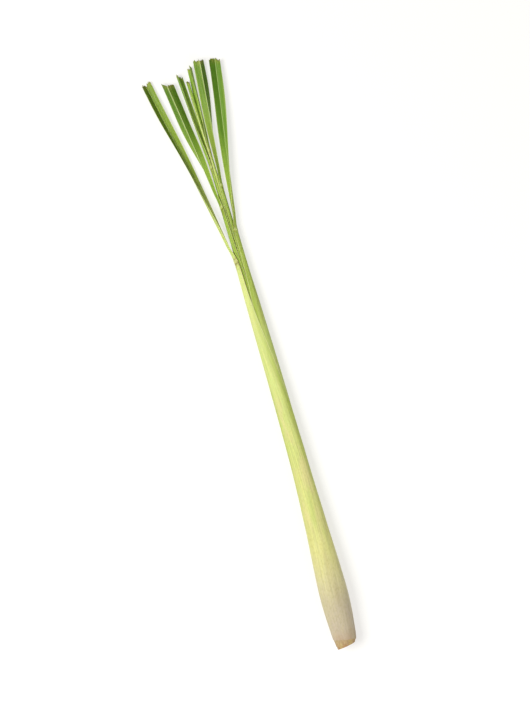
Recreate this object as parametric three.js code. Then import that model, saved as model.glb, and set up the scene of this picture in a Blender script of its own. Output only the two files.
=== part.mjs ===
// A cut lemongrass stalk lying on a table.
// A short solid stem base carries seven leaves. Each leaf is a sheath that wraps the younger
// leaves inside it, a collar where the sheath ends, and a folded blade cut off square.
// The stalk lies along +Y with its cut end at -Y, and its blades fan out to both sides in X.
import * as THREE from 'three';

// ---- Driving dimensions, in millimetres. "Reach" is the distance along +Y from the cut end. ----

const STALK_RADIUS = [
  [0, 7.2],
  [8, 8.5],
  [40, 10.5],
  [92, 8.5],
  [136, 7.0],
  [200, 6.2],
  [264, 5.4],
  [300, 4.7],
  [460, 4.6],
];
const BULB_REACH = 40;
const WALL = [
  [0, 0.8],
  [40, 0.95],
  [200, 0.55],
  [300, 0.4],
  [460, 0.36],
];
const GAP = [
  [0, 0.32],
  [40, 0.32],
  [200, 0.25],
  [300, 0.2],
  [460, 0.2],
];

// The stalk is a little wider than it is high, because the leaves stand in two ranks.
const WIDE = 1.04;
const HIGH = 0.96;

// The stalk is bent a little sideways near its foot, and slopes down towards its thin end.
const BEND_DEPTH = 6;
const BEND_REACH = 220;
const SLOPE = 0.0175;

const FOOT = { band: 7, tier: 5, cutRadius: 6.7, cutSkew: 0.16, sides: 24 };

// Leaves from the outermost inwards. spread and twist are in degrees, and a blade has made its
// whole twist at the share turned of its length. cut is how much further one corner of the cut
// tip reaches than the other, and lowest is the tip's height off the table.
const LEAVES = [
  { side: -1, collar: 298, tip: 446, spread: 10.5, twist: 78, turned: 1, width: 10.5, cut: 2, lowest: 0 },
  { side: 1, collar: 321, tip: 450, spread: 9.2, twist: -84, turned: 0.8, width: 12, cut: -3, lowest: 0 },
  { side: -1, collar: 340, tip: 441, spread: 7.2, twist: -82, turned: 0.7, width: 12, cut: 3, lowest: 0.8 },
  { side: 1, collar: 356, tip: 452, spread: 6.2, twist: 76, turned: 0.9, width: 11.5, cut: 1, lowest: 0.6 },
  { side: -1, collar: 371, tip: 445, spread: 3.6, twist: 30, turned: 0.6, width: 9, cut: -2, lowest: 0.6 },
  { side: 1, collar: 384, tip: 449, spread: 3.4, twist: -24, turned: 0.6, width: 8, cut: 1.5, lowest: 0.6 },
];
const SPEAR = { collar: 379, tip: 439, sides: 12 };

const CLOSED_ANGLE = 174;
const COLLAR_ANGLE = 66;
const OPENING_LENGTH = 200;
const OPENING_POWER = 1.5;
const COLLAR_LENGTH = 20;
const COLLAR_WIDTH = 7;
const FOLD_AT_COLLAR = 60;
const FOLD_AT_TIP = 46;
const MIDRIB_ROUND = 0.18;

const ACROSS = 16;
const SHEATH_STEP = 20;
const BLADE_STEP = 11;

const STEM = { color: 0xcfa676, roughness: 0.7 };
const LEAF_ROUGHNESS = 0.5;
const OUTERMOST_COLOR = 0xc9d27c;
const INNERMOST_COLOR = 0x6f9a3a;
const SPEAR_COLOR = 0x8fb24c;

// ---- Curves along the stalk ----

// A smooth curve through [reach, value] pairs, level beyond both ends.
function profile(pairs) {
  const slopes = pairs.map((pair, i) => {
    const before = pairs[Math.max(i - 1, 0)];
    const after = pairs[Math.min(i + 1, pairs.length - 1)];
    return (after[1] - before[1]) / (after[0] - before[0]);
  });
  return (reach) => {
    const last = pairs.length - 1;
    const at = THREE.MathUtils.clamp(reach, pairs[0][0], pairs[last][0]);
    const i = Math.min(pairs.findIndex((pair) => pair[0] > at) - 1, last - 1);
    const k = i < 0 ? last - 1 : i;
    const span = pairs[k + 1][0] - pairs[k][0];
    const t = (at - pairs[k][0]) / span;
    const rise = (1 + 2 * t) * (1 - t) ** 2 * pairs[k][1] + t * t * (3 - 2 * t) * pairs[k + 1][1];
    return rise + span * t * (1 - t) * ((1 - t) * slopes[k] - t * slopes[k + 1]);
  };
}

const stalkRadius = profile(STALK_RADIUS);
const wall = profile(WALL);
const gap = profile(GAP);
const ease = (value, from, to) => THREE.MathUtils.smoothstep(value, from, to);
const radians = THREE.MathUtils.degToRad;

// The middle line of the stalk, high enough for the bulb to touch the table.
const middleX = (reach) => -BEND_DEPTH * Math.max(1 - reach / BEND_REACH, 0) ** 2;
const middleZ = (reach) => HIGH * stalkRadius(BULB_REACH) - SLOPE * (reach - BULB_REACH);

// Outer radius of a leaf, counted from 0 at the outermost.
const leafRadius = (index, reach) => stalkRadius(reach) - index * (wall(reach) + gap(reach));
const leafStart = (index) => FOOT.band + index * FOOT.tier;

// ---- Solids from rings of points ----

// Joins rings of equal count into one closed body. ends lists the triangles that close a ring,
// as indices into it, facing towards -Y.
function closedBody(rings, ends) {
  const count = rings[0].length;
  const index = [];
  for (let i = 0; i + 1 < rings.length; i += 1) {
    for (let j = 0; j < count; j += 1) {
      const a = i * count + j;
      const b = i * count + ((j + 1) % count);
      index.push(a, a + count, b, b, a + count, b + count);
    }
  }
  const top = (rings.length - 1) * count;
  for (const [a, b, c] of ends) {
    index.push(a, b, c, top + a, top + c, top + b);
  }
  const geometry = new THREE.BufferGeometry();
  geometry.setAttribute('position', new THREE.Float32BufferAttribute(rings.flat(2), 3));
  geometry.setIndex(index);
  geometry.computeVertexNormals();
  return geometry;
}

// Triangles that close a convex ring.
function fan(count) {
  return Array.from({ length: count - 2 }, (_, j) => [0, j + 1, j + 2]);
}

// Triangles that close a thin ring whose first half runs along one face and second half back.
function strip(count) {
  const triangles = [];
  for (let j = 0; j + 1 < count / 2; j += 1) {
    const back = count - 1 - j;
    triangles.push([j, j + 1, back], [j + 1, back - 1, back]);
  }
  return triangles;
}

function ellipseRing(reach, radius, sides, skew = 0) {
  return Array.from({ length: sides }, (_, j) => {
    const angle = (2 * Math.PI * j) / sides;
    const x = WIDE * radius * Math.cos(angle);
    return [middleX(reach) + x, reach + skew * x, middleZ(reach) + HIGH * radius * Math.sin(angle)];
  });
}

// Reaches shared by all leaves, so that nested walls stay evenly apart.
function stations(start, collar, tip) {
  const list = [start];
  const step = (reach) => (reach < collar - SHEATH_STEP ? SHEATH_STEP : BLADE_STEP);
  for (let reach = SHEATH_STEP; reach < tip - BLADE_STEP / 2; reach += step(reach)) {
    if (reach > start + BLADE_STEP / 2) {
      list.push(reach);
    }
  }
  return [...list, tip];
}

// ---- Leaves ----

const alongBlade = (leaf, reach) => {
  return THREE.MathUtils.clamp((reach - leaf.collar) / (leaf.tip - leaf.collar), 0, 1);
};

// A leaf's section at one reach, in its own directions: out, away from the stalk's middle,
// and along, a quarter turn on from out. across runs from -1 to 1, margin to margin.
function leafSection(leaf, index, reach, across, depth) {
  const radius = leafRadius(index, reach);
  const opening = ease(reach, leaf.collar - OPENING_LENGTH, leaf.collar) ** OPENING_POWER;
  const halfAngle = radians(THREE.MathUtils.lerp(CLOSED_ANGLE, COLLAR_ANGLE, opening));
  const inner = radius - depth;
  const sheath = new THREE.Vector2(
    WIDE * inner * Math.cos(halfAngle * across),
    HIGH * inner * Math.sin(halfAngle * across),
  );

  const past = Math.max(reach - leaf.collar + COLLAR_LENGTH / 4, 0);
  const lift = Math.tan(radians(leaf.spread)) * (Math.hypot(past, COLLAR_LENGTH / 2) - COLLAR_LENGTH / 2);
  const onBlade = alongBlade(leaf, reach);
  const halfWidth = THREE.MathUtils.lerp(COLLAR_WIDTH, leaf.width, ease(onBlade, 0, 1)) / 2;
  const fold = radians(THREE.MathUtils.lerp(FOLD_AT_COLLAR, FOLD_AT_TIP, onBlade));
  const bow = Math.hypot(across, MIDRIB_ROUND);
  const normal = new THREE.Vector2(-Math.sin(fold), (-across / bow) * Math.cos(fold)).normalize();
  const blade = new THREE.Vector2(-(bow - MIDRIB_ROUND) * Math.cos(fold), across * Math.sin(fold))
    .multiplyScalar(halfWidth)
    .addScaledVector(normal, depth)
    .rotateAround(new THREE.Vector2(0, 0), radians(leaf.twist) * ease(onBlade, 0, leaf.turned));
  blade.x += WIDE * radius + lift;

  return sheath.lerp(blade, ease(past, 0, COLLAR_LENGTH));
}

function leafRing(leaf, index, reach, droop) {
  const ring = [];
  const sag = droop * alongBlade(leaf, reach) ** 2;
  for (let j = 0; j < 2 * (ACROSS + 1); j += 1) {
    const outside = j <= ACROSS;
    const across = ((outside ? j : 2 * ACROSS + 1 - j) / ACROSS) * 2 - 1;
    const point = leafSection(leaf, index, reach, across, outside ? 0 : wall(reach));
    const x = middleX(reach) + leaf.side * point.x;
    const y = reach + (reach === leaf.tip ? (leaf.cut * across) / 2 : 0);
    const z = middleZ(reach) + leaf.side * point.y - sag;
    ring.push([x, y, z]);
  }
  return ring;
}

// A blade sinks towards its tip, as the square of the way along it, until some part of it is
// as low as it may go.
function leafGeometry(leaf, index) {
  const reaches = stations(leafStart(index), leaf.collar, leaf.tip);
  const room = reaches.filter((reach) => reach > leaf.collar + COLLAR_LENGTH).map((reach) => {
    const heights = leafRing(leaf, index, reach, 0).map((point) => point[2]);
    return (Math.min(...heights) - leaf.lowest) / alongBlade(leaf, reach) ** 2;
  });
  const rings = reaches.map((reach) => leafRing(leaf, index, reach, Math.min(...room)));
  return closedBody(rings, strip(rings[0].length));
}

// The youngest leaf, rolled tight.
function spearGeometry() {
  const index = LEAVES.length;
  const reaches = stations(leafStart(index), SPEAR.collar, SPEAR.tip);
  const rings = reaches.map((reach) => ellipseRing(reach, leafRadius(index, reach), SPEAR.sides));
  return closedBody(rings, fan(SPEAR.sides));
}

// ---- Stem base ----

// A cone with a cut face below and one step for each leaf that grows from it.
function stemBaseGeometry() {
  const rings = [ellipseRing(0, FOOT.cutRadius, FOOT.sides, FOOT.cutSkew)];
  const inside = (index, reach) => leafRadius(index, reach) - wall(reach) - gap(reach);
  const ledge = (index) => leafStart(index) - gap(0);
  rings.push(ellipseRing(ledge(0), leafRadius(0, ledge(0)) - gap(0), FOOT.sides));
  LEAVES.forEach((leaf, index) => {
    rings.push(ellipseRing(ledge(index), inside(index, ledge(index)), FOOT.sides));
    rings.push(ellipseRing(ledge(index + 1), inside(index, ledge(index + 1)), FOOT.sides));
  });
  return closedBody(rings, fan(FOOT.sides));
}

// ---- Assembly ----

function piece(name, geometry, color, roughness = LEAF_ROUGHNESS) {
  const mesh = new THREE.Mesh(geometry, new THREE.MeshStandardMaterial({ color, roughness, metalness: 0 }));
  mesh.name = name;
  return mesh;
}

const stalk = new THREE.Group();
stalk.add(piece('stem_base', stemBaseGeometry(), STEM.color, STEM.roughness));
const innermost = new THREE.Color(INNERMOST_COLOR);
LEAVES.forEach((leaf, index) => {
  const color = new THREE.Color(OUTERMOST_COLOR).lerp(innermost, index / LEAVES.length);
  stalk.add(piece(`leaf_${index + 1}`, leafGeometry(leaf, index), color));
});
stalk.add(piece(`leaf_${LEAVES.length + 1}`, spearGeometry(), SPEAR_COLOR));

// The origin is on the table, under the middle of the whole stalk.
const box = new THREE.Box3().setFromObject(stalk);
const middle = box.getCenter(new THREE.Vector3());
stalk.position.set(-middle.x, -middle.y, -box.min.z);

export default stalk;
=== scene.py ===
"""A cut lemongrass stalk lying on a pale table: ribbed, overlapping leaf sheaths over a short
stem base, with folded blades cut off square."""

import math
from types import SimpleNamespace

import bpy
import numpy as np
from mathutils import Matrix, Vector


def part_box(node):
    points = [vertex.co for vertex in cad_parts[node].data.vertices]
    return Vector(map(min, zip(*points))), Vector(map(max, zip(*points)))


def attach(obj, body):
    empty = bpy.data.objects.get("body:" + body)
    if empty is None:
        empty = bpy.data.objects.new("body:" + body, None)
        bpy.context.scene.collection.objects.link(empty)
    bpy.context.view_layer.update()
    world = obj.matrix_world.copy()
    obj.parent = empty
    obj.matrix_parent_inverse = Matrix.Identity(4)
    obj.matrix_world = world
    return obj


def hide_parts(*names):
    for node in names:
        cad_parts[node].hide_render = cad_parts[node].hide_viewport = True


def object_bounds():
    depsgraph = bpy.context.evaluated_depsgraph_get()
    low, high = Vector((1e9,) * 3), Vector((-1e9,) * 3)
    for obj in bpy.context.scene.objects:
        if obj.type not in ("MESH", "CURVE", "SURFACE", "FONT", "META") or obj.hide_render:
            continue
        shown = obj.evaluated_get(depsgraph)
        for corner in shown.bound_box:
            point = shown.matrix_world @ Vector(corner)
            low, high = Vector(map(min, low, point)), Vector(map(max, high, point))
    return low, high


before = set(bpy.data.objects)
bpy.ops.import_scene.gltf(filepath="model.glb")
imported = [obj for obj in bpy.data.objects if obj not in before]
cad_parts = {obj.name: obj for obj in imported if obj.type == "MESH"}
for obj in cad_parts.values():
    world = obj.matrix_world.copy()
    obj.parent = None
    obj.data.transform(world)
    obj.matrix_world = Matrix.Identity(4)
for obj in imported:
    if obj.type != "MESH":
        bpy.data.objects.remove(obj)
cad_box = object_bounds()
MM = 0.001

# ---- The stalk's sizes, in millimetres. Reach is the distance along +Y from the cut end. ----

# Pairs of reach and value: the stalk's radius, and the wall of the frame's sheaths and the gap
# between them, which together are the step from one leaf's radius to the next.
STALK_RADIUS = (
    (0, 7.2), (8, 8.5), (40, 10.5), (92, 8.5), (136, 7), (200, 6.2), (264, 5.4), (300, 4.7), (460, 4.6),
)
WALL = ((0, 0.8), (40, 0.95), (200, 0.55), (300, 0.4), (460, 0.36))
GAP = ((0, 0.32), (40, 0.32), (200, 0.25), (300, 0.2), (460, 0.2))
BULB_REACH = 40

# The stalk is a little wider than it is high, because the leaves stand in two ranks.
WIDE = 1.04
HIGH = 0.96

# It is bent a little sideways near its foot, and slopes down towards its thin end.
BEND_DEPTH = 6
BEND_REACH = 220
SLOPE = 0.0175

# The bare band of stem, the step from one leaf's foot to the next, and the slanting cut face.
BAND = 7
TIER = 5
CUT_RADIUS = 6.7
CUT_SKEW = 0.16

# Half the angle that a sheath wraps, in degrees: all the way round and a little more at first,
# and less and less over some length before the collar.
WRAP_ANGLE = 190
COLLAR_ANGLE = 66
OPENING_LENGTH = 200
OPENING_POWER = 1.5

# Along the collar the sheath turns into the blade. The folds are half the angle between a
# blade's two halves, in degrees, and MIDRIB_ROUND rounds the fold.
COLLAR_LENGTH = 20
COLLAR_WIDTH = 7
FOLD_AT_COLLAR = 60
FOLD_AT_TIP = 46
MIDRIB_ROUND = 0.18

# Leaves from the outermost inwards. spread and twist are in degrees, and a blade has made its
# whole twist at the share turned of its length. cut is how much further one corner of the cut
# tip reaches than the other, lowest is the tip's height off the table, and notch is how much
# further the tip's two margins reach than its midrib.
LEAF_WORDS = ("side", "collar", "tip", "spread", "twist", "turned", "width", "cut", "lowest", "notch")
LEAF_SIZES = (
    (-1, 298, 446, 10.5, 78, 1, 10.5, 2, 0, 1.5),
    (1, 321, 450, 9.2, -84, 0.8, 12, -3, 0, -1.2),
    (-1, 340, 441, 7.2, -82, 0.7, 12, 3, 0.8, 2),
    (1, 356, 452, 6.2, 76, 0.9, 11.5, 1, 0.6, 1.5),
    (-1, 371, 445, 3.6, 30, 0.6, 9, -2, 0.6, -1),
    (1, 384, 449, 3.4, -24, 0.6, 8, 1.5, 0.6, 1),
)
LEAVES = [
    SimpleNamespace(index=index, **dict(zip(LEAF_WORDS, sizes))) for index, sizes in enumerate(LEAF_SIZES)
]
SPEAR = SimpleNamespace(index=len(LEAVES), collar=379, tip=439)

# The outermost sheath ends as a thin skin over the bare band of stem, and reaches further down
# on the side away from its midrib. A sheath's foot is uneven up to FOOT_ZONE above it.
FOOT_SKIN = 0.2
FOOT_SLANT = 3.6
FOOT_ZONE = 9

# Neighbouring sheaths are only HUG apart. Their margins thin to EDGE along MARGIN_TAPER, and
# where the two margins of a sheath meet, one is lifted over the other.
HUG = 0.06
EDGE = 0.15
MARGIN_TAPER = 7
LAP_LIFT = 0.22

# The raised band of the collar, which curves towards the tip at the margins.
COLLAR_SWELL = 0.22
COLLAR_BREADTH = 1.3
COLLAR_CURVE = 1.5

# The blade's thickness at its midrib, without the keel under it. The keel's breadth is a share
# of the blade's half width. The margins wave up and down.
BLADE_WALL = 0.34
KEEL = 0.4
KEEL_BREADTH = 0.09
MARGIN_WAVE = 0.35

# How many long veins each half of a leaf has. They stand out more on the sheath.
VEINS = 9
VEIN_DEPTH = 0.035
SHEATH_VEINS = 1.5

# The height of the membrane inside the collar, and how far its faces are from the next leaf.
LIGULE = 2.2
LIGULE_FACES = (0.13, 0.04)

# The rolled leaf: how many turns it makes, how many veins a turn has, and as shares of the
# leaf's radius its outside, its wall and the step from one turn to the next.
ROLL_TURNS = 2.6
ROLL_VEINS = 12
ROLL_OUTSIDE = 1.06
ROLL_WALL = 0.2
ROLL_PITCH = 0.3

# How many points run across one face of a leaf, of a ligule and of the rolled leaf, and how
# many run round the stem.
LEAF_COLUMNS = 120
LIGULE_COLUMNS = 60
ROLL_COLUMNS = 130
STEM_COLUMNS = 144

# Seeds of the random draws. A leaf's index is added to the first two.
LEAF_SEED = 40
LIGULE_SEED = 70
SPEAR_SEED = 50


# ---- Curves along the stalk ----

def profile(pairs):
    """A smooth curve through (reach, value) pairs, level beyond both ends."""
    at, value = np.array(pairs, float).T
    order = np.arange(len(at))
    after = np.minimum(order + 1, order[-1])
    before = np.maximum(order - 1, 0)
    slope = (value[after] - value[before]) / (at[after] - at[before])

    def curve(reach):
        reach = np.clip(reach, at[0], at[-1])
        k = np.clip(np.searchsorted(at, reach, side="right") - 1, 0, len(at) - 2)
        span = at[k + 1] - at[k]
        t = (reach - at[k]) / span
        level = (1 + 2 * t) * (1 - t) ** 2 * value[k] + t * t * (3 - 2 * t) * value[k + 1]
        return level + span * t * (1 - t) * ((1 - t) * slope[k] - t * slope[k + 1])

    return curve


def ease(value, start, end):
    """A smooth step of value from 0 at start to 1 at end."""
    t = np.clip((value - start) / (end - start), 0, 1)
    return t * t * (3 - 2 * t)


def lerp(start, end, share):
    return start + (end - start) * share


def spaced(stops, counts):
    """A column of numbers through all stops, with so many even steps between each two."""
    stretches = zip(stops, stops[1:], counts)
    parts = [np.linspace(start, end, count, endpoint=False) for start, end, count in stretches]
    return np.concatenate((*parts, stops[-1:]))[:, None]


stalk_radius = profile(STALK_RADIUS)
wall = profile(WALL)
gap = profile(GAP)


def middle(reach):
    """X and Z of the stalk's middle line."""
    x = -BEND_DEPTH * np.maximum(1 - reach / BEND_REACH, 0) ** 2
    z = HIGH * stalk_radius(BULB_REACH) - SLOPE * (reach - BULB_REACH)
    return x, z


def leaf_radius(index, reach):
    return stalk_radius(reach) - index * (wall(reach) + gap(reach))


def leaf_start(index):
    return BAND + index * TIER


def sheath_thickness(index, reach):
    full = wall(reach) + gap(reach) - HUG
    if index > 0:
        return full
    return lerp(FOOT_SKIN, full, ease(reach, BAND + 1, BAND + 7))


def uneven(angle, reach):
    """How far the real stalk is from round: the same for all leaves, so that they stay nested."""
    return 1 + 0.012 * np.cos(2 * angle + reach / 55 + 1) + 0.009 * np.cos(3 * angle - reach / 70)


# Where the sizes' own origin lies in the frame: on the table, at reach 0. The stem base is
# centred on the middle line where it is widest, and the lower corner of its cut face is its
# lowest point in Y.
base_low, base_high = (np.array(corner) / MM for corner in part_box("stem_base"))
ORIGIN = np.array((
    (base_low[0] + base_high[0]) / 2 - middle(leaf_start(1))[0],
    base_low[1] + CUT_SKEW * WIDE * CUT_RADIUS,
    0,
))


# ---- A leaf's surface ----

# across runs from -1 at one margin to 1 at the other. A leaf's own directions are out, away
# from the stalk's middle, and aside, a quarter turn on from out.

def blade_share(leaf, reach):
    """0 at the collar and before it, 1 at the tip."""
    return np.clip((reach - leaf.collar) / (leaf.tip - leaf.collar), 0, 1)


def sheath_depths(leaf, reach, across, half_angle):
    """Depths of the sheath's outer and inner faces under the leaf's round surface."""
    full = sheath_thickness(leaf.index, reach)
    half_arc = half_angle * leaf_radius(leaf.index, reach)
    taper = np.minimum(MARGIN_TAPER, 0.6 * half_arc)
    thinned = 1 - ease((1 - np.abs(across)) * half_arc, 0, taper)
    # The outermost sheath's margins sink in gradually above its foot.
    sunk = full - EDGE
    if leaf.index == 0:
        sunk = np.minimum(sunk, lerp(FOOT_SKIN - EDGE, full, ease(reach, BAND, BAND + 60)))
    outer = sunk * thinned
    inner = full - (full - EDGE - sunk) * thinned
    # Where the margins meet at the back, one climbs over the other.
    other_margin = 360 - WRAP_ANGLE
    over = ease(np.degrees(half_angle) * across, other_margin - 8, other_margin + 6)
    lap = over * ease(np.degrees(half_angle), 172, 182)
    return outer - LAP_LIFT * lap, inner - LAP_LIFT * lap


def veins(leaf, reach, across):
    """Uneven ridges that run the whole length of the leaf, lower on the bulb."""
    turn = 2 * np.pi * across
    heights = 0.65 + 0.35 * np.cos(3.1 * turn + 2 * leaf.index)
    main = heights * np.cos(VEINS * turn + 1.4 * np.sin(5 * across + leaf.index))
    small = 0.45 * np.cos(1.7 * VEINS * turn + 1.2 * np.sin(4 * across - leaf.index))
    strength = lerp(0.35, 1, ease(reach, 50, 170)) * (1 + 0.3 * np.sin(reach / 23))
    return VEIN_DEPTH * (main + small) * (1 - ease(np.abs(across), 0.88, 1)) * strength


def collar_swelling(leaf, reach, across):
    """The raised band where the blade joins the sheath, bent a little towards the tip."""
    off = reach - leaf.collar - 1 - COLLAR_CURVE * across**2
    return COLLAR_SWELL * np.exp(-((off / COLLAR_BREADTH) ** 2)) * (1 - across**4)


def sheath_place(leaf, reach, across, inner):
    """How far out and aside the points of a face of the sheath are."""
    opening = ease(reach, leaf.collar - OPENING_LENGTH, leaf.collar) ** OPENING_POWER
    half_angle = np.radians(lerp(WRAP_ANGLE, COLLAR_ANGLE, opening))
    outer_depth, inner_depth = sheath_depths(leaf, reach, across, half_angle)
    if inner:
        depth = inner_depth
    else:
        ridges = SHEATH_VEINS * veins(leaf, reach, across)
        depth = outer_depth - ridges - collar_swelling(leaf, reach, across)
    angle = half_angle * across
    ring = (leaf_radius(leaf.index, reach) - depth) * uneven(angle + np.pi * (leaf.side < 0), reach)
    return WIDE * ring * np.cos(angle), HIGH * ring * np.sin(angle)


def blade_place(leaf, reach, across, inner, past):
    """The same for the blade: folded along its midrib, twisted, and spread from the stalk."""
    share = blade_share(leaf, reach)
    half_width = lerp(COLLAR_WIDTH, leaf.width, ease(share, 0, 1)) / 2
    fold = np.radians(lerp(FOLD_AT_COLLAR, FOLD_AT_TIP, share))
    bow = np.hypot(across, MIDRIB_ROUND)
    normal_out = -np.sin(fold)
    normal_aside = -across / bow * np.cos(fold)
    size = np.hypot(normal_out, normal_aside)

    wave = MARGIN_WAVE * share * across**2 * np.sin(reach / 11 + 2 * leaf.index + 2 * across)
    if inner:
        depth = lerp(EDGE, BLADE_WALL, 1 - across**2) + wave + veins(leaf, reach, across)
    else:
        keel = KEEL * np.exp(-((across / KEEL_BREADTH) ** 2))
        depth = -keel - collar_swelling(leaf, reach, across) + wave - veins(leaf, reach, across)
    out = -half_width * (bow - MIDRIB_ROUND) * np.cos(fold) + depth * normal_out / size
    aside = half_width * across * np.sin(fold) + depth * normal_aside / size

    twist = math.radians(leaf.twist) * ease(share, 0, leaf.turned)
    lift = math.tan(math.radians(leaf.spread)) * (np.hypot(past, COLLAR_LENGTH / 2) - COLLAR_LENGTH / 2)
    turned_out = out * np.cos(twist) - aside * np.sin(twist)
    turned_aside = out * np.sin(twist) + aside * np.cos(twist)
    return turned_out + WIDE * leaf_radius(leaf.index, reach) + lift, turned_aside


def leaf_points(leaf, reach, across, inner):
    """X and Z of one face of a leaf, which turns from sheath into blade along its collar."""
    past = np.maximum(reach - leaf.collar + COLLAR_LENGTH / 4, 0)
    on_blade = ease(past, 0, COLLAR_LENGTH)
    sheath_out, sheath_aside = sheath_place(leaf, reach, across, inner)
    blade_out, blade_aside = blade_place(leaf, reach, across, inner, past)
    middle_x, middle_z = middle(reach)
    x = middle_x + leaf.side * lerp(sheath_out, blade_out, on_blade)
    z = middle_z + leaf.side * lerp(sheath_aside, blade_aside, on_blade)
    return x, z


def droop(leaf):
    """How far the blade's tip sinks, so that the blade comes as low as it may."""
    reach = np.linspace(leaf.collar + COLLAR_LENGTH, leaf.tip, 60)[:, None]
    across = np.linspace(-1, 1, 41)[None, :]
    lowest = leaf_points(leaf, reach, across, False)[1].min(1)
    return ((lowest - leaf.lowest) / blade_share(leaf, reach[:, 0]) ** 2).min()


def smoothed(values, width):
    return np.convolve(values, np.ones(width) / width, "same")


def fray(random, count):
    """A ragged cut: soft waves, small nicks, and a few fibres left standing."""
    waves = smoothed(random.normal(0, 1.3, count), 9)
    nicks = random.normal(0, 0.1, count)
    fibres = smoothed(1.5 * (random.random(count) > 0.95), 2)
    return waves + nicks + fibres


def cut_shift(leaf, across, random):
    """How far each vein of the cut tip reaches past the plain cut."""
    slope = leaf.cut * across / 2
    notch = leaf.notch * (np.abs(across) - 0.5)
    return slope + notch + fray(random, len(across))


def foot_shift(leaf, across, random):
    """How far each vein of the sheath's foot reaches past the plain foot."""
    around = np.radians(WRAP_ANGLE) * across
    slant = FOOT_SLANT * (leaf.index == 0) * (1 - np.cos(around)) / 2
    return smoothed(random.normal(0, 0.4, len(across)), 7) - slant


# ---- Closed shells: rings of points, how the end rings are closed, and facts of each point ----

def two_sided(outer, inner):
    """Columns of an outer face, then those of the inner face in the order back."""
    return np.concatenate((outer, inner[:, ::-1]), axis=1)


def close_leaf(leaf, faces, across, at_tip, ligule):
    """A shell of an outer and an inner face, with what the leaf material needs to know of it."""
    rings = two_sided(*faces)
    reach = rings[:, :, 1]
    facts = {
        "reach": reach,
        "past_collar": reach - leaf.collar,
        "to_tip": leaf.tip - reach + two_sided(at_tip, at_tip),
        "across": np.broadcast_to(two_sided(across, across), reach.shape),
        "ligule": np.full_like(reach, ligule),
    }
    return SimpleNamespace(rings=rings, ends="strip", facts=facts)


def leaf_shell(leaf):
    """A whole leaf, from its foot to its cut tip."""
    random = np.random.default_rng(LEAF_SEED + leaf.index)
    start = leaf_start(leaf.index)
    # The rows are closest together at the foot, round the collar and at the tip.
    stops = (start, start + FOOT_ZONE, leaf.collar - 14, leaf.collar + 22, leaf.tip - 8, leaf.tip)
    rows = spaced(stops, (11, 83, 35, 55, 9))
    across = np.linspace(-1, 1, LEAF_COLUMNS)
    at_tip = cut_shift(leaf, across, random) * ease(rows, leaf.tip - 12, leaf.tip)
    at_foot = foot_shift(leaf, across, random) * (1 - ease(rows, start, start + FOOT_ZONE))
    reach = rows + at_tip + at_foot
    sag = droop(leaf) * blade_share(leaf, reach) ** 2
    faces = []
    for inner in (False, True):
        x, z = leaf_points(leaf, reach, across[None, :], inner)
        faces.append(np.stack((x, reach, np.maximum(z - sag, 0)), axis=2))
    return close_leaf(leaf, faces, across[None, :], at_tip, ligule=0)


def ligule_shell(leaf):
    """The short dry membrane that stands inside the collar, against the next leaf."""
    random = np.random.default_rng(LIGULE_SEED + leaf.index)
    across = np.linspace(-1, 1, LIGULE_COLUMNS)[None, :]
    height = LIGULE * (1 - 0.5 * across**2) + 0.2 * random.normal(0, 1, across.shape)
    reach = leaf.collar + 1 + np.linspace(0, 1, 6)[:, None] * height
    angle = np.radians(COLLAR_ANGLE - 4) * across
    middle_x, middle_z = middle(reach)
    faces = []
    for off in LIGULE_FACES:
        ring = (leaf_radius(leaf.index + 1, reach) + off) * uneven(angle + np.pi * (leaf.side < 0), reach)
        x = middle_x + leaf.side * WIDE * ring * np.cos(angle)
        z = middle_z + leaf.side * HIGH * ring * np.sin(angle)
        faces.append(np.stack((x, reach, z), axis=2))
    return close_leaf(leaf, faces, across, 0 * reach, ligule=1)


def spear_shell():
    """The youngest leaf, rolled round itself with its turns a little apart."""
    random = np.random.default_rng(SPEAR_SEED)
    rows = spaced((leaf_start(SPEAR.index), 370, SPEAR.tip), (29, 49))
    turns = np.linspace(0, ROLL_TURNS, ROLL_COLUMNS)[None, :]
    torn = 0.7 * np.sin(2 * np.pi * turns) + 0.4 * fray(random, ROLL_COLUMNS)
    at_tip = torn * ease(rows, SPEAR.tip - 6, SPEAR.tip)
    reach = rows + at_tip
    radius = leaf_radius(SPEAR.index, reach)
    angle = 2 * np.pi * turns + 1.1 + reach / 60
    ridges = 0.015 * np.cos(2 * np.pi * ROLL_VEINS * turns)
    thick = ROLL_WALL * (0.4 + 0.6 * ease(turns, 0, 0.12))
    middle_x, middle_z = middle(reach)
    faces = []
    for share in (ROLL_OUTSIDE + ridges, ROLL_OUTSIDE - thick):
        ring = radius * (share - ROLL_PITCH * turns)
        x = middle_x + WIDE * ring * np.cos(angle)
        z = middle_z + HIGH * ring * np.sin(angle)
        faces.append(np.stack((x, reach, z), axis=2))
    return close_leaf(SPEAR, faces, 2 * turns / ROLL_TURNS - 1, at_tip, ligule=0)


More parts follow.
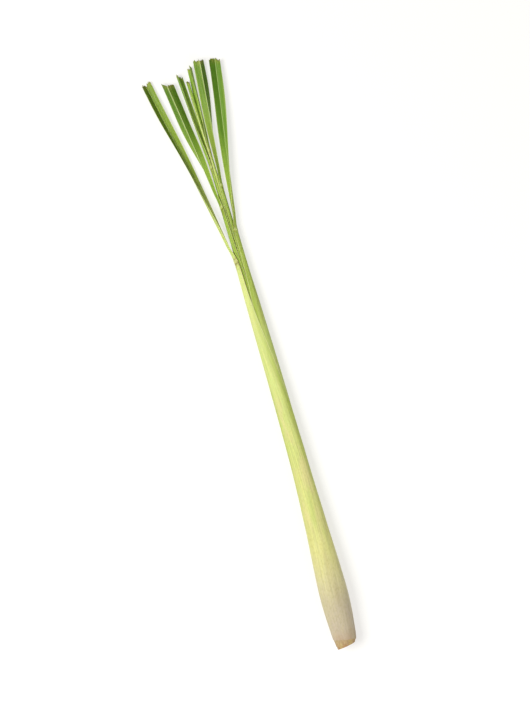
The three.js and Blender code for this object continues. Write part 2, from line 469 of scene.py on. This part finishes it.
def stem_base_shell():
    """The cut face, the bare band of stem above it, and the stepped cone inside the leaves."""
    # A row is one ring: its radius, its reach, its place on the cut face from 0 in the middle
    # to 1 at the rim and beyond, and how far it follows the slant of the cut.
    rows = [(CUT_RADIUS * core, 0, core, 1) for core in np.linspace(0.04, 0.94, 16)]
    rows.append((CUT_RADIUS * 0.985, 0.08, 1, 1))
    for reach in np.linspace(0.35, leaf_start(1) - 0.6, 34):
        under_sheath = leaf_radius(0, reach) - sheath_thickness(0, reach) - 0.05
        radius = lerp(CUT_RADIUS, under_sheath, ease(reach, 0, 2.5))
        ridge = 0.07 * np.sin(2.6 * reach + 0.5) * ease(reach, 5, 2)
        rows.append((radius + ridge, reach, 1, ease(reach, 4, 0)))
    for index in range(1, len(LEAVES)):
        for reach in (leaf_start(index) + 1.2, leaf_start(index + 1) - 0.3):
            rows.append((leaf_radius(index + 1, reach) - 0.1, reach, 1, 0))

    radius, reach, core, slant = (np.array(column)[:, None] for column in zip(*rows))
    angle = np.linspace(0, 2 * np.pi, STEM_COLUMNS, endpoint=False)
    middle_x, middle_z = middle(reach)
    lumps = 1 + 0.006 * np.cos(7 * angle + 1) + 0.004 * np.cos(17 * angle) * (core == 1)
    x = WIDE * radius * lumps * uneven(angle, reach) * np.cos(angle)
    z = HIGH * radius * lumps * uneven(angle, reach) * np.sin(angle)
    knife_marks = 0.05 * np.cos(9 * core + 2 * angle) * (core < 1)
    y = reach + slant * (CUT_SKEW * x + knife_marks)
    rings = np.stack((middle_x + x, y, np.maximum(middle_z + z, 0)), axis=2)
    facts = {"reach": y - CUT_SKEW * x, "core": np.broadcast_to(core, y.shape)}
    return SimpleNamespace(rings=rings, ends="fan", facts=facts)


# ---- Meshes ----

def shell_faces(count, rows, ends):
    """Quads between neighbouring rings, and the faces that close the first and the last ring."""
    row, column = np.meshgrid(np.arange(rows - 1) * count, np.arange(count), indexing="ij")
    after = (column + 1) % count
    quads = np.stack((row + column, row + count + column, row + count + after, row + after), axis=2)
    if ends == "fan":
        caps = [list(range(count))]
    else:
        caps = [[j, j + 1, count - 2 - j, count - 1 - j] for j in range(count // 2 - 1)]
    top = (rows - 1) * count
    caps += [[top + corner for corner in reversed(cap)] for cap in caps]
    return quads.reshape(-1, 4).tolist() + caps


def grow(name, node, shells, material):
    """Makes one piece of closed shells, which stands in the frame for a CAD node."""
    points = []
    faces = []
    for shell in shells:
        rows, count = shell.rings.shape[:2]
        faces += [[len(points) + corner for corner in face] for face in shell_faces(count, rows, shell.ends)]
        points += ((shell.rings + ORIGIN) * MM).reshape(-1, 3).tolist()
    mesh = bpy.data.meshes.new(name)
    mesh.from_pydata(points, [], faces)
    for fact in shells[0].facts:
        values = np.concatenate([shell.facts[fact].ravel() for shell in shells])
        mesh.attributes.new(fact, "FLOAT", "POINT").data.foreach_set("value", values)
    mesh.shade_smooth()
    mesh.set_sharp_from_angle(angle=math.radians(50))
    mesh.materials.append(material)
    piece = bpy.data.objects.new(name, mesh)
    bpy.context.scene.collection.objects.link(piece)
    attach(piece, "root")
    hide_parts(node)


# ---- Materials. Lengths in them are in millimetres too. ----

def tone(code):
    """A colour given as six sRGB digits, as linear red, green, blue and alpha."""
    parts = [int(code[at:at + 2], 16) / 255 for at in (0, 2, 4)]
    return [((part + 0.055) / 1.055) ** 2.4 for part in parts] + [1]


class Recipe:
    """A material with one principled shader, and short calls for the nodes that feed it."""

    def __init__(self, name, roughness, subsurface, specular):
        self.material = bpy.data.materials.new(name)
        self.material.use_nodes = True
        self.tree = self.material.node_tree
        self.shader = self.tree.nodes["Principled BSDF"]
        self.shader.inputs["Roughness"].default_value = roughness
        self.shader.inputs["Specular IOR Level"].default_value = specular
        self.shader.inputs["Subsurface Weight"].default_value = subsurface
        self.shader.inputs["Subsurface Radius"].default_value = (1, 0.9, 0.4)
        self.shader.inputs["Subsurface Scale"].default_value = 0.8 * MM

    def feed(self, socket, value):
        if isinstance(value, bpy.types.NodeSocket):
            self.tree.links.new(value, socket)
        else:
            socket.default_value = value

    def fact(self, name):
        """What the mesh says of each point under this name."""
        node = self.tree.nodes.new("ShaderNodeAttribute")
        node.attribute_name = name
        return node.outputs["Fac"]

    def place(self):
        """X, Y and Z on the object."""
        node = self.tree.nodes.new("ShaderNodeSeparateXYZ")
        self.feed(node.inputs[0], self.tree.nodes.new("ShaderNodeTexCoord").outputs["Object"])
        return [self.times(output, 1 / MM) for output in node.outputs]

    def math(self, operation, first, second=0.0):
        node = self.tree.nodes.new("ShaderNodeMath")
        node.operation = operation
        self.feed(node.inputs[0], first)
        self.feed(node.inputs[1], second)
        return node.outputs[0]

    def times(self, *values):
        product = values[0]
        for value in values[1:]:
            product = self.math("MULTIPLY", product, value)
        return product

    def step(self, value, start, end, low=0.0, high=1.0):
        """A smooth step of value from low at start to high at end."""
        node = self.tree.nodes.new("ShaderNodeMapRange")
        node.interpolation_type = "SMOOTHSTEP"
        self.feed(node.inputs["Value"], value)
        ends = {"From Min": start, "From Max": end, "To Min": low, "To Max": high}
        for socket, end_value in ends.items():
            node.inputs[socket].default_value = end_value
        return node.outputs["Result"]

    def vector(self, x, y, z):
        node = self.tree.nodes.new("ShaderNodeCombineXYZ")
        for socket, value in zip(node.inputs, (x, y, z)):
            self.feed(socket, value)
        return node.outputs[0]

    def noise(self, x, y, z, detail):
        """Noise from 0 to 1 at a place given by three numbers."""
        node = self.tree.nodes.new("ShaderNodeTexNoise")
        self.feed(node.inputs["Vector"], self.vector(x, y, z))
        node.inputs["Scale"].default_value = 1
        node.inputs["Detail"].default_value = detail
        return node.outputs["Fac"]

    def ramp(self, value, stops):
        """A colour for value, from (value, colour code) stops in rising order."""
        first, last = stops[0][0], stops[-1][0]
        node = self.tree.nodes.new("ShaderNodeValToRGB")
        elements = node.color_ramp.elements
        while len(elements) < len(stops):
            elements.new(0.5)
        for element, (at, code) in zip(elements, stops):
            element.position = (at - first) / (last - first)
            element.color = tone(code)
        share = self.math("DIVIDE", self.math("SUBTRACT", value, first), last - first)
        self.feed(node.inputs["Fac"], share)
        return node.outputs["Color"]

    def blend(self, share, first, second, mode="MIX"):
        """The first colour with a share of the second over it."""
        node = self.tree.nodes.new("ShaderNodeMix")
        node.data_type = "RGBA"
        node.blend_type = mode
        node.clamp_factor = True
        self.feed(node.inputs["Factor"], share)
        self.feed(node.inputs[6], first)
        self.feed(node.inputs[7], second)
        return node.outputs[2]

    def lay(self, colour, share, code, mode="MIX"):
        """A colour with a share of one plain tone over it."""
        return self.blend(share, colour, tone(code), mode)

    def finish(self, colour, roughness, height, depth):
        """Wires the colour, the roughness, and a bump that is depth deep."""
        bump = self.tree.nodes.new("ShaderNodeBump")
        bump.inputs["Strength"].default_value = 1
        bump.inputs["Distance"].default_value = depth * MM
        self.feed(bump.inputs["Height"], height)
        self.feed(self.shader.inputs["Normal"], bump.outputs[0])
        self.feed(self.shader.inputs["Base Color"], colour)
        self.feed(self.shader.inputs["Roughness"], roughness)
        return self.material


# ---- Leaf material ----

# Sheath colours by reach, in millimetres.
SHEATH_TONES = (
    (3, "AE9B7D"), (14, "BCB094"), (34, "C0B792"), (50, "CAC394"),
    (75, "D1CF8C"), (110, "CDD086"), (160, "C9D182"), (235, "C9D584"), (298, "BECB74"),
)
# Blade colours of each leaf near its collar, half way and at its tip, from the outermost inwards.
BLADE_TONES = (
    ("D2DB8E", "86A03E", "6C8A2C"),
    ("A9BF58", "6F9638", "5C842C"),
    ("96B24A", "5B802A", "4E7122"),
    ("9EB850", "62862C", "547724"),
    ("A6C256", "6C9832", "5C8C28"),
    ("AEC85C", "7AA438", "6A9830"),
    ("BAD06A", "8AB042", "7AA63A"),
)


class LeafSkin(Recipe):
    """The leaf material's shader, with the facts and the noises that its layers share."""

    def __init__(self, name, seed):
        super().__init__(name, roughness=0.5, subsurface=0.25, specular=0.25)
        self.shader.inputs["Specular Tint"].default_value = tone("D8E09C")
        self.seed = seed
        self.reach = self.fact("reach")
        self.past_collar = self.fact("past_collar")
        self.to_tip = self.fact("to_tip")
        self.across = self.fact("across")
        self.sideways = self.math("ABSOLUTE", self.across)
        self.on_blade = self.step(self.past_collar, -22, 14)
        # Half the leaf's width round the stalk shrinks from the bulb to the collar.
        half_width = self.step(self.past_collar, -250, 0, 32, 5)
        self.from_edge = self.times(self.math("SUBTRACT", 1, self.sideways), half_width)
        self.wide = self.streaks(5, 60, 2)
        self.fine = self.streaks(30, 34, 5)
        self.patch = self.streaks(2.2, 38, 2)
        self.cloud = self.streaks(1.5, 22, 3, seed_shift=9)
        self.ribs = self.math("SINE", self.times(self.across, 190.0))
        # Streaks and veins are fainter on the bulb.
        self.clear = self.step(self.reach, 25, 130, 0.5, 1)

    def streaks(self, count, length, detail, seed_shift=0):
        """Noise in patches of this length, with about count of them across half a leaf."""
        across = self.times(self.across, count)
        along = self.times(self.reach, 1 / length)
        return self.noise(across, along, self.seed + seed_shift, detail)


def sheath_colour(skin):
    """Pale, with a lavender grey foot, greener and darker at midrib and margins, partly its own colour and
    partly painted shade, and buff between them.
    """
    shifted = skin.math("ADD", skin.reach, skin.times(skin.math("SUBTRACT", skin.wide, 0.5), 40))
    colour = skin.ramp(shifted, SHEATH_TONES)
    lavender = skin.times(skin.step(skin.reach, 76, 20), skin.step(skin.patch, 0.36, 0.7, 0.25, 1), 0.6)
    colour = skin.lay(colour, lavender, "B8AB9D")

    # Painted shade: the flanks at the midrib and at the margins are made greener and darker, partly the
    # sheath's own greener colour there and partly shade on the sides of the stalk.
    green_shaded_flanks = skin.math("ADD", skin.step(skin.sideways, 0.3, 0.06), skin.step(skin.sideways, 0.58, 0.85))
    green = skin.times(green_shaded_flanks, skin.step(skin.reach, 60, 170), 0.75)
    colour = skin.lay(colour, green, "DAE496", "MULTIPLY")
    buff = skin.step(skin.streaks(4, 24, 3, seed_shift=30), 0.42, 0.62)
    buff = skin.times(buff, skin.math("SUBTRACT", 1, green_shaded_flanks), skin.step(skin.reach, 50, 120), 0.5)
    colour = skin.lay(colour, buff, "DACB98")
    mottle = skin.step(skin.streaks(26, 2.5, 2, seed_shift=40), 0.48, 0.62)
    return skin.lay(colour, skin.times(mottle, 0.16), "C4C080", "MULTIPLY")


def blade_colour(skin, tones):
    """Greener and darker towards the tip."""
    near, half, tip = tones
    return skin.ramp(skin.past_collar, ((0, near), (26, near), (75, half), (145, tip)))


def add_streaks(skin, colour):
    """Long streaks, greener and yellower, then fine pale and dark ones, and thin veins."""
    greener = skin.times(skin.step(skin.wide, 0.5, 0.8), skin.step(skin.reach, 45, 110), 0.35)
    colour = skin.lay(colour, greener, "A9BE5C")
    yellower = skin.times(skin.step(skin.wide, 0.5, 0.24), 0.25)
    colour = skin.lay(colour, yellower, "E8DFA4", "MULTIPLY")
    light = skin.times(skin.step(skin.fine, 0.45, 0.7), skin.clear, 0.3)
    colour = skin.lay(colour, light, "F4F2CE", "SOFT_LIGHT")
    dark = skin.times(skin.step(skin.fine, 0.52, 0.3), skin.clear, 0.22)
    colour = skin.lay(colour, dark, "8C8A4A", "MULTIPLY")
    vein = skin.times(skin.step(skin.ribs, 0.1, 1), skin.step(skin.fine, 0.3, 0.6, 0.3, 1), skin.clear, 0.2)
    return skin.lay(colour, vein, "A5A669", "MULTIPLY")


def add_halves(skin, colour):
    """One half of the blade is darker as painted shade, and a thin waxy bloom, partly its own and partly a
    painted sheen, lies on the other.
    """
    # Painted shade: one half of the blade is darkened, as if turned away from the light.
    shaded_half = skin.step(skin.across, 0.04, -0.04)
    darker = skin.times(shaded_half, skin.on_blade, skin.step(skin.wide, 0.2, 0.6, 0.6, 1), 0.5)
    colour = skin.lay(colour, darker, "B2CB80", "MULTIPLY")
    # The bloom lies only on the lighter half, where it is partly the blade's own waxy bloom and partly a
    # painted sheen.
    lit_half = skin.step(skin.across, -0.04, 0.04)
    bloom = skin.times(skin.step(skin.past_collar, 0, 60), skin.step(skin.patch, 0.4, 0.7), lit_half, 0.14)
    return skin.lay(colour, bloom, "BFD2A0")


def add_margins(skin, colour, stain):
    """Pale margins, reddish brown towards the collar, and a pale midrib on the blade."""
    margin = skin.times(
        skin.step(skin.from_edge, 0.5, 0.1), skin.step(skin.to_tip, 2, 10),
        skin.step(skin.reach, 30, 180, 0.3, 0.75), skin.step(skin.past_collar, 10, 60, 1, 0.5),
    )
    pale = skin.ramp(skin.reach, ((30, "D2C2A8"), (110, "DEDC9E"), (200, "E7E8A8")))
    colour = skin.blend(margin, colour, pale)
    stained = skin.times(
        skin.step(skin.past_collar, -55, -8), skin.step(skin.past_collar, 9, 2),
        skin.step(skin.cloud, 0.36, 0.52), skin.step(skin.from_edge, 0.4, 0.1), stain, 0.8,
    )
    colour = skin.lay(colour, stained, "80532F")
    midrib = skin.times(skin.step(skin.sideways, 0.085, 0.03), skin.on_blade, 0.55)
    return skin.lay(colour, midrib, "D5E0A2")


def add_collar(skin, colour, stain):
    """A brown smudge, a pale raised band over it, a dark line under the band that is partly brown and partly
    painted shade in the fold, and specks.
    """
    above = skin.math("SUBTRACT", skin.past_collar, skin.times(skin.across, skin.across, COLLAR_CURVE))
    smudge = skin.times(
        skin.step(above, -10, -1), skin.step(above, 5, 2),
        skin.step(skin.cloud, 0.42, 0.58), skin.step(skin.fine, 0.32, 0.6), stain,
    )
    colour = skin.lay(colour, smudge, "7B5A2C")
    band = skin.times(
        skin.step(above, -0.6, 0.7), skin.step(above, 3, 1.6), skin.step(skin.fine, 0.2, 0.5, 0.5, 1), 0.5,
    )
    colour = skin.lay(colour, band, "D3D895")
    # Partly a brown mark and partly painted shade in the fold under the raised band.
    crease = skin.times(
        skin.step(above, -1.6, -0.8), skin.step(above, -0.1, -0.8), skin.step(skin.cloud, 0.35, 0.5), 0.45,
    )
    colour = skin.lay(colour, crease, "6A5A2A")
    speck = skin.step(skin.streaks(9, 1.6, 1, seed_shift=20), 0.72, 0.78)
    about = skin.times(skin.step(skin.past_collar, 90, 10), skin.step(skin.past_collar, -150, -20, 0.15, 1))
    return skin.lay(colour, skin.times(speck, about, 0.6), "8A6632")


def add_ends(skin, colour):
    """The foot of the sheath is stained pinkish brown, and the cut tip has dried."""
    foot = skin.times(skin.step(skin.reach, 16, 4), skin.step(skin.patch, 0.35, 0.6), 0.5)
    colour = skin.lay(colour, foot, "B39880")
    dry = skin.times(skin.step(skin.to_tip, 5, 0.5), skin.step(skin.fine, 0.42, 0.6), 0.45)
    colour = skin.lay(colour, dry, "B9A55C")
    edge = skin.times(skin.step(skin.to_tip, 0.8, 0.2), skin.step(skin.cloud, 0.4, 0.55, 0.2, 0.7))
    return skin.lay(colour, edge, "80703A")


def leaf_material(name, tones, seed, stain):
    """Ribbed tissue: pale sheath, green blade, dry ligule, and brown marks as strong as stain."""
    skin = LeafSkin(name, seed)
    near_blade = skin.step(skin.past_collar, -150, 8)
    colour = skin.blend(near_blade, sheath_colour(skin), blade_colour(skin, tones))
    colour = add_streaks(skin, colour)
    colour = add_halves(skin, colour)
    colour = add_margins(skin, colour, stain)
    colour = add_collar(skin, colour, stain)
    colour = add_ends(skin, colour)
    colour = skin.lay(colour, skin.times(skin.fact("ligule"), 0.85), "CDBE93")

    ribs = skin.times(skin.ribs, skin.step(skin.past_collar, 0, -60), 0.25)
    height = skin.math("ADD", ribs, skin.math("ADD", skin.fine, skin.times(skin.wide, 0.8)))
    dull = skin.math("ADD", skin.times(skin.cloud, 0.12), 0.3)
    roughness = skin.math("ADD", skin.times(skin.fine, 0.22), dull)
    return skin.finish(colour, roughness, height, depth=0.12)


# ---- Stem material ----

def band_colour(stem, reach, streak, cloud):
    """The bare band: peach and fibrous, with a thin dark skin at the cut."""
    colour = stem.ramp(reach, ((0, "8A6036"), (0.7, "9E7A4C"), (3, "A68C62"), (9, "A99872")))
    colour = stem.lay(colour, stem.times(stem.step(streak, 0.48, 0.68), 0.3), "DCC59C")
    colour = stem.lay(colour, stem.times(stem.step(streak, 0.48, 0.3), 0.3), "A07A50")
    return stem.lay(colour, stem.times(stem.step(cloud, 0.47, 0.62), 0.5), "BFB070")


def face_colour(stem, core, bundles, cloud):
    """The cut face: pale with a brown rim, and on it faint rings, dark bundles and stains."""
    stops = ((0, "E3D4A6"), (0.55, "DFCB9A"), (0.84, "D3B583"), (0.93, "B98D5C"), (1, "8E6440"))
    colour = stem.ramp(core, stops)
    wavy = stem.math("ADD", core, stem.times(cloud, 0.3))
    rings = stem.step(stem.math("SINE", stem.times(wavy, 40)), 0.4, 1)
    colour = stem.lay(colour, stem.times(rings, stem.step(core, 0.35, 0.8), 0.3), "BC9766")
    colour = stem.lay(colour, stem.times(bundles, 0.6), "A98250")
    stain = stem.times(stem.step(cloud, 0.5, 0.62), stem.step(core, 0.1, 0.6), 0.4)
    return stem.lay(colour, stain, "C39A78")


def stem_material():
    """Solid stem: a fibrous cut face, and a peach band above it."""
    stem = Recipe("stem_tissue", roughness=0.6, subsurface=0.25, specular=0.35)
    reach = stem.fact("reach")
    core = stem.fact("core")
    x, _, z = stem.place()
    streak = stem.noise(stem.times(x, 2.4), stem.times(reach, 1 / 6), stem.times(z, 2.4), 4)
    cloud = stem.noise(stem.times(x, 0.22), stem.times(reach, 1 / 9), stem.times(z, 0.22), 3)
    fibre = stem.tree.nodes.new("ShaderNodeTexVoronoi")
    fibre.inputs["Scale"].default_value = 1
    stem.feed(fibre.inputs["Vector"], stem.vector(stem.times(x, 1.5), 0, stem.times(z, 1.5)))
    bundles = stem.step(fibre.outputs["Distance"], 0.3, 0.14)

    on_face = stem.step(core, 1, 0.96)
    band = band_colour(stem, reach, streak, cloud)
    colour = stem.blend(on_face, band, face_colour(stem, core, bundles, cloud))
    height = stem.math("ADD", streak, stem.times(bundles, on_face, -0.6))
    roughness = stem.math("ADD", stem.times(streak, 0.2), 0.5)
    return stem.finish(colour, roughness, height, depth=0.15)


# ---- Stage. Lengths in it are in metres. ----

TABLE_SIDE = 6
TABLE_GLOW = 0.62
TABLE_ROUGHNESS = 0.75
WORLD_STRENGTH = 0.32
CAMERA_HEIGHT = 2.2
SHOWN_HEIGHT = 0.535
LEAN = math.radians(16.5)


def table_material():
    """A pale table lit a little from below, so that the shadows on it stay faint."""
    table = Recipe("pale_table", TABLE_ROUGHNESS, subsurface=0, specular=0.2)
    table.shader.inputs["Emission Color"].default_value = (1, 0.992, 0.975, 1)
    table.shader.inputs["Emission Strength"].default_value = TABLE_GLOW
    x, y, z = table.place()
    grain = table.noise(table.times(x, 0.9), table.times(y, 0.9), z, 3)
    colour = table.blend(grain, tone("9E9E9C"), tone("A6A5A3"))
    return table.finish(colour, TABLE_ROUGHNESS, grain, depth=0.02)


def add_table():
    mesh = bpy.data.meshes.new("table")
    half = TABLE_SIDE / 2
    corners = [(-half, -half, 0), (half, -half, 0), (half, half, 0), (-half, half, 0)]
    mesh.from_pydata(corners, [], [(0, 1, 2, 3)])
    mesh.materials.append(table_material())
    table = bpy.data.objects.new("table", mesh)
    bpy.context.scene.collection.objects.link(table)


def add_world():
    """Even light from all round, and colours shown as they are."""
    world = bpy.data.worlds.new("studio")
    world.use_nodes = True
    background = world.node_tree.nodes["Background"]
    background.inputs["Color"].default_value = (1, 0.988, 0.97, 1)
    background.inputs["Strength"].default_value = WORLD_STRENGTH
    bpy.context.scene.world = world
    bpy.context.scene.view_settings.view_transform = "Standard"


def add_light(name, place, size, power, colour):
    """A square soft light that shines on the middle of the stalk."""
    data = bpy.data.lights.new(name, "AREA")
    data.size = size
    data.energy = power
    data.color = colour
    light = bpy.data.objects.new(name, data)
    light.location = place
    light.rotation_euler = (-Vector(place)).to_track_quat("-Z", "Y").to_euler()
    bpy.context.scene.collection.objects.link(light)


def add_camera():
    """Looks straight down, turned so that the stalk leans to the left."""
    data = bpy.data.cameras.new("camera")
    data.lens = data.sensor_width * CAMERA_HEIGHT / SHOWN_HEIGHT
    camera = bpy.data.objects.new("camera", data)
    low, high = cad_box
    camera.location = ((low.x + high.x) / 2, (low.y + high.y) / 2, CAMERA_HEIGHT)
    camera.rotation_euler = (0, 0, -LEAN)
    bpy.context.scene.collection.objects.link(camera)
    bpy.context.scene.camera = camera


# ---- The whole stalk. Its outer leaves are stained the most, and the rolled one the least. ----

OUTER_LEAVES = 2
OUTER_STAIN = 0.75
INNER_STAIN = 0.4
SPEAR_STAIN = 0.2
NOISE_STEP = 3.7

grow("stem_base_cut", "stem_base", [stem_base_shell()], stem_material())
for leaf in LEAVES:
    node = f"leaf_{leaf.index + 1}"
    outer = leaf.index < OUTER_LEAVES
    stain = OUTER_STAIN if outer else INNER_STAIN
    tissue = leaf_material(f"{node}_tissue", BLADE_TONES[leaf.index], NOISE_STEP * leaf.index, stain)
    grow(f"{node}_ribbed", node, [leaf_shell(leaf), ligule_shell(leaf)], tissue)
tissue = leaf_material("spear_tissue", BLADE_TONES[SPEAR.index], NOISE_STEP * SPEAR.index, SPEAR_STAIN)
grow("leaf_7_rolled", "leaf_7", [spear_shell()], tissue)

add_table()
add_world()
add_light("key", place=(-0.8, 0.1, 1.3), size=0.8, power=23, colour=(1, 0.99, 0.965))
add_light("fill", place=(0.5, -1.0, 0.9), size=1.2, power=7, colour=(1, 0.99, 0.98))
add_camera()
